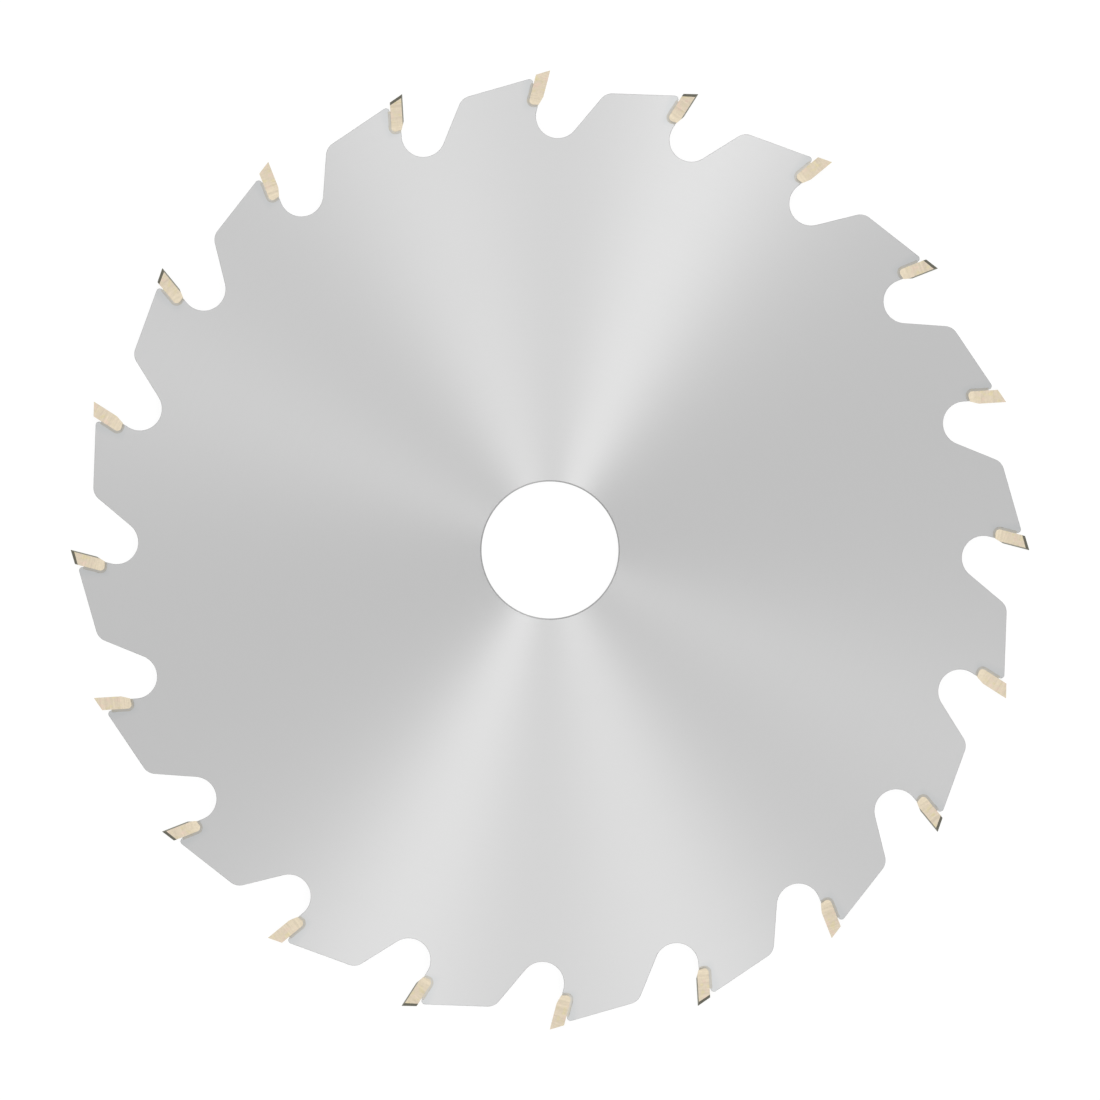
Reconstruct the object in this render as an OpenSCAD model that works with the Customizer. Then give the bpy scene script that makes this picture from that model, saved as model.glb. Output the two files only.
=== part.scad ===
// Carbide-tipped circular saw blade with alternately bevelled teeth.
// The blade lies in the XY plane with its bore along Z, and the origin is at the middle of the bore.
// Seen from +Z it cuts clockwise. One tooth is worked out in a frame of its own and is then turned
// round the bore: its origin is the cutting point, the bore is straight below, and the tooth faces +X.

/* [Blade] */
// Diameter of the circle that the cutting points run on
blade_d = 210; // [190:1:260]
// Diameter of the arbor bore
bore_d = 30; // [16:0.5:40]
// Width and depth of the chamfer on both rims of the bore
bore_chamfer = 0.3; // [0.1:0.05:0.5]
// Thickness of the steel plate
plate_t = 1.8; // [1.4:0.1:2.4]
// Number of teeth, even so that left and right bevels alternate
teeth = 20; // [12:2:24]

/* [Carbide tip] */
// How far a cutting corner stands out from the plate on each side
side_overhang = 0.4; // [0.3:0.05:0.7]
// Thickness of a tip from its face to its back
tip_t = 2.8; // [2.4:0.1:3.6]
// Depth of a tip's foot below the cutting circle
tip_depth = 7.5; // [7:0.1:9]
// How far a tip's face stands in front of the gullet wall below it
face_proud = 0.7; // [0.4:0.05:0.9]
// How far the front edge of a tip's foot stands in front of the gullet wall
foot_proud = 0.1; // [0.05:0.05:0.2]
// Height of the chamfer that runs from the face back to the foot
foot_chamfer = 1.75; // [1:0.05:2.5]
// Radius of the corner between the back and the foot
heel_r = 0.9; // [0.5:0.05:1.1]

/* [Grinding angles in degrees] */
// Lean of the tooth face, ahead of the radius at the cutting point
hook = 14.5; // [10:0.5:20]
// Fall of the top behind the cutting point
clearance = 16; // [12:0.5:20]
// Lean of the top from one side of the tip to the other
top_bevel = 15; // [8:1:20]
// Lean of the face from one side of the tip to the other
face_bevel = 6; // [2:0.5:8]
// Narrowing of each side towards the back
back_relief = 2.5; // [1:0.25:3.5]
// Narrowing of each side towards the foot
foot_relief = 1; // [0.5:0.25:1.5]

/* [Seat] */
// Thickness of the braze between a tip and its seat
braze_t = 0.2; // [0.1:0.05:0.3]
// How far the tooth back lies below the top of the tip
land_drop = 0.55; // [0.3:0.05:1]
// Radius of the plate's shoulder behind a tip
shoulder_r = 0.75; // [0.4:0.05:1.2]

/* [Gullet] */
// Depth of the gullet's floor below the cutting circle
gullet_depth = 14.85; // [13.5:0.05:17]
// Radius of the gullet's floor
gullet_r = 4.8; // [4:0.1:5.5]
// Slope of the ramp that rises to the next tooth's back, in degrees
ramp = 50; // [45:1:58]
// Radius of the knee between that ramp and the tooth's back
knee_r = 3.2; // [1:0.1:5]

/* [Hidden] */
$fn = 96;
steel_colour = "#cacbca";
carbide_colour = "#ded0b7";
braze_colour = "#bdbbb2";

pitch = 360 / teeth;
cut_r = blade_d / 2;
kerf = plate_t + 2 * side_overhang;
// How far a block or blank that is cut away reaches past the piece that it cuts
beyond = 2 * tip_depth;
// How many times larger than its corner the waste of a rounded corner is
waste_scale = 1.5;
// How far an arc crosses the straight edge that it runs into, so that no sliver is left between them
arc_cross = 0.001;

// Unit vector at angle a, and unit vector square to it on its left
function along(a) = [cos(a), sin(a)];
function leftward(a) = [-sin(a), cos(a)];
// Point p moved by distance d to the left of direction a
function beside(p, a, d) = p + d * leftward(a);
// Point where the line through p at angle a meets the line through q at angle b
function meet(p, a, q, b) = p + along(a) * cross(q - p, along(b)) / cross(along(a), along(b));
// Point p turned about the bore by angle a
function turned(p, a) = [p.x * cos(a) - p.y * sin(a), p.x * sin(a) + p.y * cos(a)];
// Two-digit number of tooth i, counted from one
function tag(i) = str(i < 9 ? "0" : "", i + 1);

// Lines of one tooth: a point of each, and its angle where it isn't that of the face
cut_point = [0, 0];
bore_point = [0, -cut_r];
face_a = 90 - hook;
wall_point = beside(cut_point, face_a, face_proud);
back_point = beside(cut_point, face_a, tip_t);
seat_point = beside(back_point, face_a, braze_t);
foot_point = [0, -tip_depth];
seat_foot_point = foot_point - [0, braze_t];
land_point = beside(cut_point, clearance, -land_drop);
next_land_point = bore_point + turned(land_point - bore_point, -pitch);
next_land_a = clearance - pitch;

// Corners of the tip
tip_chamfer_top = meet(cut_point, face_a, foot_point + [0, foot_chamfer], 0);
tip_chamfer_foot = meet(beside(wall_point, face_a, -foot_proud), face_a, foot_point, 0);
tip_top_back = meet(cut_point, clearance, back_point, face_a);
heel = meet(back_point, face_a, foot_point, 0);
heel_c = meet(beside(back_point, face_a, -heel_r), face_a, foot_point + [0, heel_r], 0);
heel_foot = heel_c - [0, heel_r];
heel_back = beside(heel_c, face_a, heel_r);

// Corners of the seat, which follows the tip at the thickness of the braze
seat_heel_r = heel_r + braze_t;
seat_heel = meet(seat_point, face_a, seat_foot_point, 0);
seat_heel_foot = heel_c - [0, seat_heel_r];
seat_heel_back = beside(heel_c, face_a, seat_heel_r);
seat_front = meet(wall_point, face_a, seat_foot_point, 0);
shoulder = meet(land_point, clearance, seat_point, face_a);
shoulder_c = meet(
  beside(land_point, clearance, -shoulder_r), clearance,
  beside(seat_point, face_a, shoulder_r), face_a
);
shoulder_land = beside(shoulder_c, clearance, shoulder_r);
shoulder_back = beside(shoulder_c, face_a, -shoulder_r);

// Corners of the gullet and of the knee where the next tooth's back starts
gullet_c = meet(
  beside(wall_point, face_a, -gullet_r), face_a,
  [0, gullet_r - gullet_depth], 0
);
gullet_wall = beside(gullet_c, face_a, gullet_r);
gullet_ramp = beside(gullet_c, ramp, -gullet_r);
knee = meet(gullet_ramp, ramp, next_land_point, next_land_a);
knee_c = meet(
  beside(gullet_ramp, ramp, -knee_r), ramp,
  beside(next_land_point, next_land_a, -knee_r), next_land_a
);
knee_ramp = beside(knee_c, ramp, knee_r);
knee_land = beside(knee_c, next_land_a, knee_r);

// Ends of the space that is cut for one tooth, each in the open gullet or outside the blank
ramp_end = knee + beyond * along(ramp);
own_knee = bore_point + turned(knee - bore_point, pitch);
land_end = own_knee - gullet_r * along(clearance);
land_outside = beside(land_end, clearance, beyond);

tip_nodes = [for (i = [0:teeth - 1]) str("tip_", tag(i))];
braze_nodes = [for (i = [0:teeth - 1]) str("braze_", tag(i))];

// Puts its children at tooth i, counted clockwise from the top
module at_tooth(i) {
  rotate([0, 0, -pitch * i]) translate(-bore_point) children();
}

// Puts its children at every tooth
module at_each_tooth() {
  for (i = [0:teeth - 1]) at_tooth(i) children();
}

module disc(centre, r) {
  translate(centre) circle(r + arc_cross);
}

// What is cut off a corner to round it: the corner and the air round it, outside a disc that touches
// both sides of the corner
module corner_waste(corner, side_1, centre, side_2, r) {
  difference() {
    polygon([for (p = [corner, side_1, centre, side_2]) centre + waste_scale * (p - centre)]);
    disc(centre, r);
  }
}

// The space above one tooth's back, round its tip and down into its gullet. It goes through the
// centre of each hollow, which a disc clears.
module tooth_space() {
  polygon([
    land_end, shoulder,
    seat_heel_back, heel_c, seat_heel_foot,
    seat_front,
    gullet_wall, gullet_c, gullet_ramp,
    ramp_end, land_outside
  ]);
}

module plate_outline() {
  difference() {
    circle(cut_r);
    at_each_tooth() tooth_space();
    at_each_tooth() disc(heel_c, seat_heel_r);
    at_each_tooth() disc(gullet_c, gullet_r);
    at_each_tooth() corner_waste(shoulder, shoulder_land, shoulder_c, shoulder_back, shoulder_r);
    at_each_tooth() corner_waste(knee, knee_ramp, knee_c, knee_land, knee_r);
  }
}

// Cone that cuts the chamfer on the upper rim of the bore
module bore_chamfer_cut() {
  translate([0, 0, plate_t / 2 - bore_chamfer])
    cylinder(h = 2 * bore_chamfer, d1 = bore_d, d2 = bore_d + 4 * bore_chamfer);
}

module blade_body() {
  color(steel_colour) difference() {
    linear_extrude(plate_t, center = true) plate_outline();
    cylinder(h = 2 * plate_t, d = bore_d, center = true);
    bore_chamfer_cut();
    mirror([0, 0, 1]) bore_chamfer_cut();
  }
}

module tip_outline() {
  difference() {
    polygon([cut_point, tip_chamfer_top, tip_chamfer_foot, heel, tip_top_back]);
    corner_waste(heel, heel_foot, heel_c, heel_back, heel_r);
  }
}

// Moves its children to the high corner of the cutting edge, with their x axis at angle a
module at_cutting_corner(a) {
  translate([0, 0, kerf / 2]) rotate([0, 0, a]) children();
}

// Block on the outer side of the top, which falls away from the high corner
module top_bevel_cut() {
  at_cutting_corner(clearance) rotate([-top_bevel, 0, 0])
    translate([-beyond, 0, -beyond]) cube([2 * beyond, beyond, 2 * beyond]);
}

// Block in front of the face, which falls back from the high corner
module face_bevel_cut() {
  at_cutting_corner(face_a) rotate([face_bevel, 0, 0])
    translate([-beyond, -beyond, -beyond]) cube([2 * beyond, beyond, 2 * beyond]);
}

// Block beside the tip, which leans in towards the tip's back and foot
module side_relief_cut() {
  at_cutting_corner(face_a) rotate([-back_relief, -foot_relief, 0])
    translate([-beyond, -beyond, 0]) cube([2 * beyond, 2 * beyond, beyond]);
}

// One tip with its high corner on the +Z side
module carbide_tip() {
  difference() {
    linear_extrude(kerf, center = true) tip_outline();
    top_bevel_cut();
    face_bevel_cut();
    side_relief_cut();
    mirror([0, 0, 1]) side_relief_cut();
  }
}

// Every second tip is bevelled the other way
module tip(i) {
  color(carbide_colour) at_tooth(i) mirror([0, 0, i % 2]) carbide_tip();
}

// The L-shaped gap between a tip and its seat, from the shoulder to the gullet wall
module braze_outline() {
  inside_back = beside(shoulder_back, face_a, -tip_t / 2);
  inside_front = meet(wall_point, face_a, foot_point + [0, foot_chamfer], 0);
  difference() {
    polygon([seat_front, seat_heel, shoulder_back, inside_back, inside_front]);
    corner_waste(seat_heel, seat_heel_foot, heel_c, seat_heel_back, seat_heel_r);
    tip_outline();
  }
}

module braze(i) {
  color(braze_colour) at_tooth(i) linear_extrude(plate_t, center = true) braze_outline();
}

blade_body();
for (i = [0:teeth - 1]) tip(i);
for (i = [0:teeth - 1]) braze(i);
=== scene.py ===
"""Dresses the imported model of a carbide-tipped circular saw blade for rendering.

The blade lies in the XY plane with its bore along Z, and the origin is at the middle of the bore.
Sizes of the blade are in millimetres, as on a workshop drawing, and become metres in the meshes.
Those of the studio are in metres.
"""

import logging
import math
from dataclasses import dataclass, field
from enum import IntEnum
from typing import Any, Optional, Sequence, Union

import bmesh
import bpy
import numpy as np
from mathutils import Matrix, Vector


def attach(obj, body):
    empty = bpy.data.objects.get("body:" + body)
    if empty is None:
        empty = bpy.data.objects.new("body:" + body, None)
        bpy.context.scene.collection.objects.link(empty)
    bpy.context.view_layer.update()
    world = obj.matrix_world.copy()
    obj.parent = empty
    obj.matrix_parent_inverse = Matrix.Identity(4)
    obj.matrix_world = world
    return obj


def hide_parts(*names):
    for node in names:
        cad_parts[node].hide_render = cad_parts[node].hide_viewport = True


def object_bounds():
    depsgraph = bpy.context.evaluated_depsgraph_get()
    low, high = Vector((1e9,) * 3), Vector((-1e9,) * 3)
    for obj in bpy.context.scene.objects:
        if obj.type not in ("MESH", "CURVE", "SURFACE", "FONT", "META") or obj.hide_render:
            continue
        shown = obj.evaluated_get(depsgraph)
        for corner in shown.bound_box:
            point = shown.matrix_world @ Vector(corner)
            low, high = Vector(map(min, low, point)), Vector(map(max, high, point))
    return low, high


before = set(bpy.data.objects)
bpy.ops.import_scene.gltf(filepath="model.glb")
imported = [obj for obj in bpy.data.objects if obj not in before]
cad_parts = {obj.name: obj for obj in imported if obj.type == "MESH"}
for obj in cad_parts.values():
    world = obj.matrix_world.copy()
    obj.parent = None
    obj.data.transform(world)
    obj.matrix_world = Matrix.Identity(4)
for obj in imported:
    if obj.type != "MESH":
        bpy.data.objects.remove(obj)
cad_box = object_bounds()

LOG = logging.getLogger("saw_blade")
MM = 0.001

Points = np.ndarray
Colour = tuple[float, float, float, float]
# Start and end of a smooth rise
Span = tuple[float, float]
# Share of a relief that shows, and the depth of one unit of it in millimetres
Relief = tuple[float, float]
# Values or links of a node's inputs, by name or number
Sockets = dict[Union[str, int], Any]

WHITE: Colour = (1.0, 1.0, 1.0, 1.0)
# Angle of straight down, in degrees
DOWN = 270.0


# Plane geometry of a tooth


def along(degrees: float) -> Points:
    """Unit vector at an angle."""
    turn = math.radians(degrees)
    return np.array([math.cos(turn), math.sin(turn)])


def leftward(degrees: float) -> Points:
    """Unit vector square to an angle, on its left."""
    return along(degrees + 90.0)


def beside(point: Points, degrees: float, distance: float) -> Points:
    """Point moved by a distance to the left of a direction."""
    return point + distance * leftward(degrees)


def meet(first: Points, first_angle: float, second: Points, second_angle: float) -> Points:
    """Crossing of two lines, found by solving first + s * its direction = second + t * its direction.

    Args:
        first: A point of the first line.
        first_angle: Angle of the first line in degrees.
        second: A point of the second line.
        second_angle: Angle of the second line in degrees.

    Returns:
        The crossing point.
    """
    directions = np.column_stack([along(first_angle), -along(second_angle)])
    distances = np.linalg.solve(directions, second - first)
    return first + distances[0] * along(first_angle)


def straight(start: Points, end: Points, steps: int) -> Points:
    """Equal steps from start towards end, without the end itself, as an array of points."""
    share = np.arange(steps)[:, None] / steps
    return start + share * (end - start)


def rounded(centre: Points, radius: float, first: float, last: float, steps: int) -> Points:
    """Equal steps round an arc, without its last point: centre + radius * (cos a, sin a).

    Args:
        centre: Centre of the arc.
        radius: Radius of the arc.
        first: Angle in degrees where the arc starts.
        last: Angle in degrees that the arc runs towards.
        steps: Number of points.

    Returns:
        The points as an array of shape (steps, 2).
    """
    angles = np.radians(first + (last - first) * np.arange(steps) / steps)
    return centre + radius * np.stack([np.cos(angles), np.sin(angles)], axis=-1)


def turned(points: Points, degrees: Union[float, Points]) -> Points:
    """Points turned about the origin in the XY plane, each by its own angle where an array is given.

    Args:
        points: Array whose last axis holds x, y and any further coordinates, which are kept.
        degrees: One angle, or angles that broadcast against the points.

    Returns:
        The turned points: x cos a - y sin a and x sin a + y cos a.
    """
    turn = np.radians(degrees)
    x, y = points[..., 0], points[..., 1]
    flat = [x * np.cos(turn) - y * np.sin(turn), x * np.sin(turn) + y * np.cos(turn)]
    rest = [np.broadcast_to(points[..., k], flat[0].shape) for k in range(2, points.shape[-1])]
    return np.stack(flat + rest, axis=-1)


@dataclass(frozen=True)
class ToothForm:
    """Sizes of one tooth in millimetres and degrees.

    The tooth's own frame has its origin at the cutting point, the bore straight below and the tooth
    facing +X. The names follow the blade's drawing. The front steps are the points of the floor, wall,
    seat foot, seat heel, seat back and shoulder in front of a tooth; those of the ramp behind it make
    up the same number with its floor and knee.
    """

    teeth: int = 20
    cut_radius: float = 105.0
    plate_thickness: float = 1.8
    side_overhang: float = 0.4
    tip_thickness: float = 2.8
    tip_depth: float = 7.5
    face_proud: float = 0.7
    foot_proud: float = 0.1
    foot_chamfer: float = 1.75
    heel_radius: float = 0.9
    hook: float = 14.5
    clearance: float = 16.0
    top_bevel: float = 15.0
    face_bevel: float = 6.0
    back_relief: float = 2.5
    foot_relief: float = 1.0
    braze_thickness: float = 0.2
    land_drop: float = 0.55
    shoulder_radius: float = 0.75
    gullet_depth: float = 14.85
    gullet_radius: float = 4.8
    ramp: float = 50.0
    knee_radius: float = 3.2
    front_steps: tuple[int, ...] = (18, 3, 4, 9, 6, 8)
    rear_floor_steps: int = 8
    knee_steps: int = 16

    @property
    def pitch(self) -> float:
        """Angle between two teeth."""
        return 360.0 / self.teeth

    @property
    def kerf(self) -> float:
        """Width of the cut, from the outer corner of one tip to that of the next."""
        return self.plate_thickness + 2.0 * self.side_overhang

    @property
    def face_angle(self) -> float:
        """Angle of the tooth's face."""
        return 90.0 - self.hook

    @property
    def bore_point(self) -> Points:
        """Middle of the bore."""
        return np.array([0.0, -self.cut_radius])

    @property
    def wall_point(self) -> Points:
        """A point of the gullet wall's line."""
        return beside(np.zeros(2), self.face_angle, self.face_proud)

    @property
    def back_point(self) -> Points:
        """A point of the line of the tip's back."""
        return beside(np.zeros(2), self.face_angle, self.tip_thickness)

    @property
    def foot_point(self) -> Points:
        """A point of the line of the tip's foot."""
        return np.array([0.0, -self.tip_depth])

    @property
    def heel_centre(self) -> Points:
        """Centre of the round corner between the tip's back and foot."""
        back = beside(self.back_point, self.face_angle, -self.heel_radius)
        return meet(back, self.face_angle, self.foot_point + [0.0, self.heel_radius], 0.0)

    @property
    def shoulder_centre(self) -> Points:
        """Centre of the plate's round shoulder behind the tip."""
        land = beside(np.zeros(2), self.clearance, -self.land_drop - self.shoulder_radius)
        seat = beside(self.back_point, self.face_angle, self.braze_thickness + self.shoulder_radius)
        return meet(land, self.clearance, seat, self.face_angle)

    @property
    def shoulder_back(self) -> Points:
        """Point where the shoulder runs into the seat."""
        return beside(self.shoulder_centre, self.face_angle, -self.shoulder_radius)

    @property
    def seat_front(self) -> Points:
        """Corner between the seat's foot and the gullet wall."""
        foot = self.foot_point - [0.0, self.braze_thickness]
        return meet(self.wall_point, self.face_angle, foot, 0.0)

    @property
    def gullet_centre(self) -> Points:
        """Centre of the gullet's floor."""
        wall = beside(self.wall_point, self.face_angle, -self.gullet_radius)
        return meet(wall, self.face_angle, np.array([0.0, self.gullet_radius - self.gullet_depth]), 0.0)

    @property
    def knee_centre(self) -> Points:
        """Centre of the knee between this gullet's ramp and the next tooth's land."""
        ramp = beside(self.gullet_centre, self.ramp, -self.gullet_radius - self.knee_radius)
        land = beside(np.zeros(2), self.clearance, -self.land_drop - self.knee_radius)
        next_land = self.bore_point + turned(land - self.bore_point, -self.pitch)
        return meet(ramp, self.ramp, next_land, self.clearance - self.pitch)

    def front_edge(self) -> Points:
        """Plate's edge in front of a tooth, from the gullet's floor by the seat to the land.

        Returns:
            Points of the floor arc, wall, seat foot, seat heel, seat back and shoulder, in that order.
        """
        floor, wall, foot, heel, back, shoulder = self.front_steps
        face, side = self.face_angle, self.face_angle + 90.0
        seat_heel_radius = self.heel_radius + self.braze_thickness
        wall_end = self.gullet_centre + self.gullet_radius * along(side)
        heel_foot = self.heel_centre + seat_heel_radius * along(DOWN)
        heel_back = self.heel_centre + seat_heel_radius * along(side)
        land_angle = self.clearance + 90.0
        land_end = self.shoulder_centre + self.shoulder_radius * along(land_angle)
        return np.concatenate(
            [
                rounded(self.gullet_centre, self.gullet_radius, DOWN, side, floor),
                straight(wall_end, self.seat_front, wall),
                straight(self.seat_front, heel_foot, foot),
                rounded(self.heel_centre, seat_heel_radius, DOWN, side, heel),
                straight(heel_back, self.shoulder_back, back),
                rounded(self.shoulder_centre, self.shoulder_radius, face - 90.0, land_angle, shoulder),
                land_end[None],
            ]
        )

    def rear_edge(self) -> Points:
        """Plate's edge behind a tooth, from the floor of the gullet behind it by the ramp to the land.

        Returns:
            Points of the floor arc, ramp and knee, as many as the front edge has, in this tooth's frame.
        """
        ramp_steps = sum(self.front_steps) - self.rear_floor_steps - self.knee_steps
        upper = self.clearance - self.pitch + 90.0
        ramp_start = self.gullet_centre + self.gullet_radius * along(self.ramp - 90.0)
        knee_start = self.knee_centre + self.knee_radius * along(self.ramp + 90.0)
        knee_end = self.knee_centre + self.knee_radius * along(upper)
        edge = np.concatenate(
            [
                rounded(
                    self.gullet_centre, self.gullet_radius, -90.0, self.ramp - 90.0, self.rear_floor_steps
                ),
                straight(ramp_start, knee_start, ramp_steps),
                rounded(self.knee_centre, self.knee_radius, self.ramp + 90.0, upper, self.knee_steps),
                knee_end[None],
            ]
        )
        return self.bore_point + turned(edge - self.bore_point, self.pitch)

    def to_blade(self, points: Points, index: int) -> Points:
        """Points of the tooth's frame moved to a tooth of the blade.

        Args:
            points: Points in millimetres, x and y first.
            index: Number of the tooth, from 0, counted clockwise from the top.

        Returns:
            The points in the blade's frame.
        """
        raised = points.copy()
        raised[..., 1] += self.cut_radius
        return turned(raised, -self.pitch * index)

    def to_tooth(self, points: Points, index: int) -> Points:
        """Points of the blade moved back to a tooth's frame.

        Args:
            points: Points in millimetres, x and y first.
            index: Number of the tooth, from 0.

        Returns:
            The points in the tooth's frame.
        """
        lowered = turned(points, self.pitch * index)
        lowered[..., 1] -= self.cut_radius
        return lowered


# Meshes


@dataclass
class Surfaces:
    """Grids and caps of one piece, gathered before they are joined to a closed mesh.

    Points that are nearer to each other than the merge distance become one. The texture space of
    every piece is centred on the bore and reaches as far as the blade, because grinding turns about the
    bore and the grain of a ground surface circles the middle of that space.
    """

    reach: float = ToothForm.cut_radius
    merge: float = 1e-4
    points: list[Points] = field(default_factory=list)
    faces: list[list[int]] = field(default_factory=list)
    finishes: list[int] = field(default_factory=list)
    count: int = 0

    def _add(self, points: Points, faces: Points, finish: int) -> None:
        """Adds points and the faces between them.

        Args:
            points: Array whose last axis holds x, y and z.
            faces: Corners of the faces, counted from the first of these points.
            finish: Number of the material slot.
        """
        self.points.append(points.reshape(-1, 3))
        self.faces.extend((faces + self.count).tolist())
        self.finishes.extend([finish] * len(faces))
        self.count += len(self.points[-1])

    def add_grid(self, grid: Points, finish: int, ring: bool = False) -> None:
        """Adds a grid of points as four-sided faces between neighbouring rows and columns.

        Args:
            grid: Array of shape (rows, columns, 3).
            finish: Number of the material slot.
            ring: Whether the last column is joined to the first.
        """
        rows, columns = grid.shape[:2]
        index = np.arange(rows * columns).reshape(rows, columns)
        if ring:
            index = np.concatenate([index, index[:, :1]], axis=1)
        corners = [index[:-1, :-1], index[:-1, 1:], index[1:, 1:], index[1:, :-1]]
        self._add(grid, np.stack(corners, axis=-1).reshape(-1, 4), finish)

    def add_cap(self, ring: Points, finish: int) -> None:
        """Adds one flat face whose corners are the points of a ring."""
        self._add(ring, np.arange(len(ring))[None], finish)

    def closed_piece(self, name: str, sharp: float = 30.0) -> bpy.types.Object:
        """Joins the surfaces where they meet and turns every face outwards.

        Args:
            name: Name of the piece.
            sharp: Angle in degrees from which an edge is shaded as sharp.

        Returns:
            The piece, at the origin, in metres.
        """
        mesh = bpy.data.meshes.new(name)
        mesh.from_pydata(np.concatenate(self.points) * MM, [], self.faces)
        mesh.polygons.foreach_set("material_index", np.array(self.finishes, dtype=np.int32))
        joined = bmesh.new()
        joined.from_mesh(mesh)
        bmesh.ops.remove_doubles(joined, verts=joined.verts, dist=self.merge * MM)
        bmesh.ops.recalc_face_normals(joined, faces=joined.faces)
        joined.to_mesh(mesh)
        joined.free()
        mesh.shade_smooth()
        mesh.set_sharp_from_angle(angle=math.radians(sharp))
        mesh.use_auto_texspace = False
        mesh.texspace_location = (0.0, 0.0, 0.0)
        mesh.texspace_size = (self.reach * MM,) * 3
        mesh.update()
        piece = bpy.data.objects.new(name, mesh)
        bpy.context.scene.collection.objects.link(piece)
        return piece


def at_height(points: Points, height: Union[float, Points]) -> Points:
    """Plane points with a height added as a third coordinate."""
    level = np.broadcast_to(height, points.shape[:-1])
    return np.concatenate([points, level[..., None]], axis=-1)


def between(first: Points, second: Points, steps: int) -> Points:
    """Ruled surface between two edges: (1 - b) * first + b * second, for b from 0 to 1 in equal steps.

    Args:
        first: Edge of shape (..., n, k).
        second: Opposite edge, of the same shape.
        steps: Number of strips between the edges.

    Returns:
        Grid of shape (..., n, steps + 1, k).
    """
    share = np.linspace(0.0, 1.0, steps + 1)[:, None]
    return (1.0 - share) * first[..., None, :] + share * second[..., None, :]


def mitred(ring: Points, distance: float) -> Points:
    """Closed ring of plane points moved to the right of its run, with mitred corners.

    At each point the two unit normals are added and divided by one plus their product, which is the
    step that moves both neighbouring edges by the same distance.

    Args:
        ring: Array of shape (n, 2), in order.
        distance: How far every edge moves.

    Returns:
        The moved ring.
    """
    step = np.roll(ring, -1, axis=0) - ring
    step = step / np.linalg.norm(step, axis=1, keepdims=True)
    after = np.stack([step[:, 1], -step[:, 0]], axis=-1)
    before = np.roll(after, 1, axis=0)
    alike = np.sum(before * after, axis=1, keepdims=True)
    return ring + distance * (before + after) / (1.0 + alike)


# Node graphs


@dataclass(frozen=True)
class Layer:
    """One layer of noise in a finish.

    Its rate is in features per millimetre, its weight is what one unit of it adds to the brightness,
    and each of its finer octaves keeps a share of the one before. Where it draws marks, its rate holds
    across them, and another one along them.
    """

    rate: float
    weight: float = 0.0
    octaves: float = 2.0
    keep: float = 0.5
    along: float = 0.0


class Shade:
    """A number that varies over a surface: an output socket whose sums and products add Math nodes."""

    def __init__(self, graph: "NodeGraph", socket: bpy.types.NodeSocket) -> None:
        """Wraps an output socket of a graph."""
        self.graph = graph
        self.socket = socket

    def __add__(self, other: Any) -> "Shade":
        """Sum."""
        return self.graph.maths("ADD", self, other)

    def __radd__(self, other: Any) -> "Shade":
        """Sum with a plain number first."""
        return self.graph.maths("ADD", other, self)

    def __sub__(self, other: Any) -> "Shade":
        """Difference."""
        return self.graph.maths("SUBTRACT", self, other)

    def __rsub__(self, other: Any) -> "Shade":
        """Difference with a plain number first."""
        return self.graph.maths("SUBTRACT", other, self)

    def __mul__(self, other: Any) -> "Shade":
        """Product."""
        return self.graph.maths("MULTIPLY", self, other)

    def __rmul__(self, other: Any) -> "Shade":
        """Product with a plain number first."""
        return self.graph.maths("MULTIPLY", other, self)

    def __truediv__(self, other: Any) -> "Shade":
        """Quotient."""
        return self.graph.maths("DIVIDE", self, other)

    def __rtruediv__(self, other: Any) -> "Shade":
        """Quotient with a plain number first."""
        return self.graph.maths("DIVIDE", other, self)

    def __pow__(self, other: Any) -> "Shade":
        """Power."""
        return self.graph.maths("POWER", self, other)

    def __rpow__(self, other: Any) -> "Shade":
        """Power of a plain number."""
        return self.graph.maths("POWER", other, self)


Place = tuple[Shade, Shade, Shade]


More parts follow.
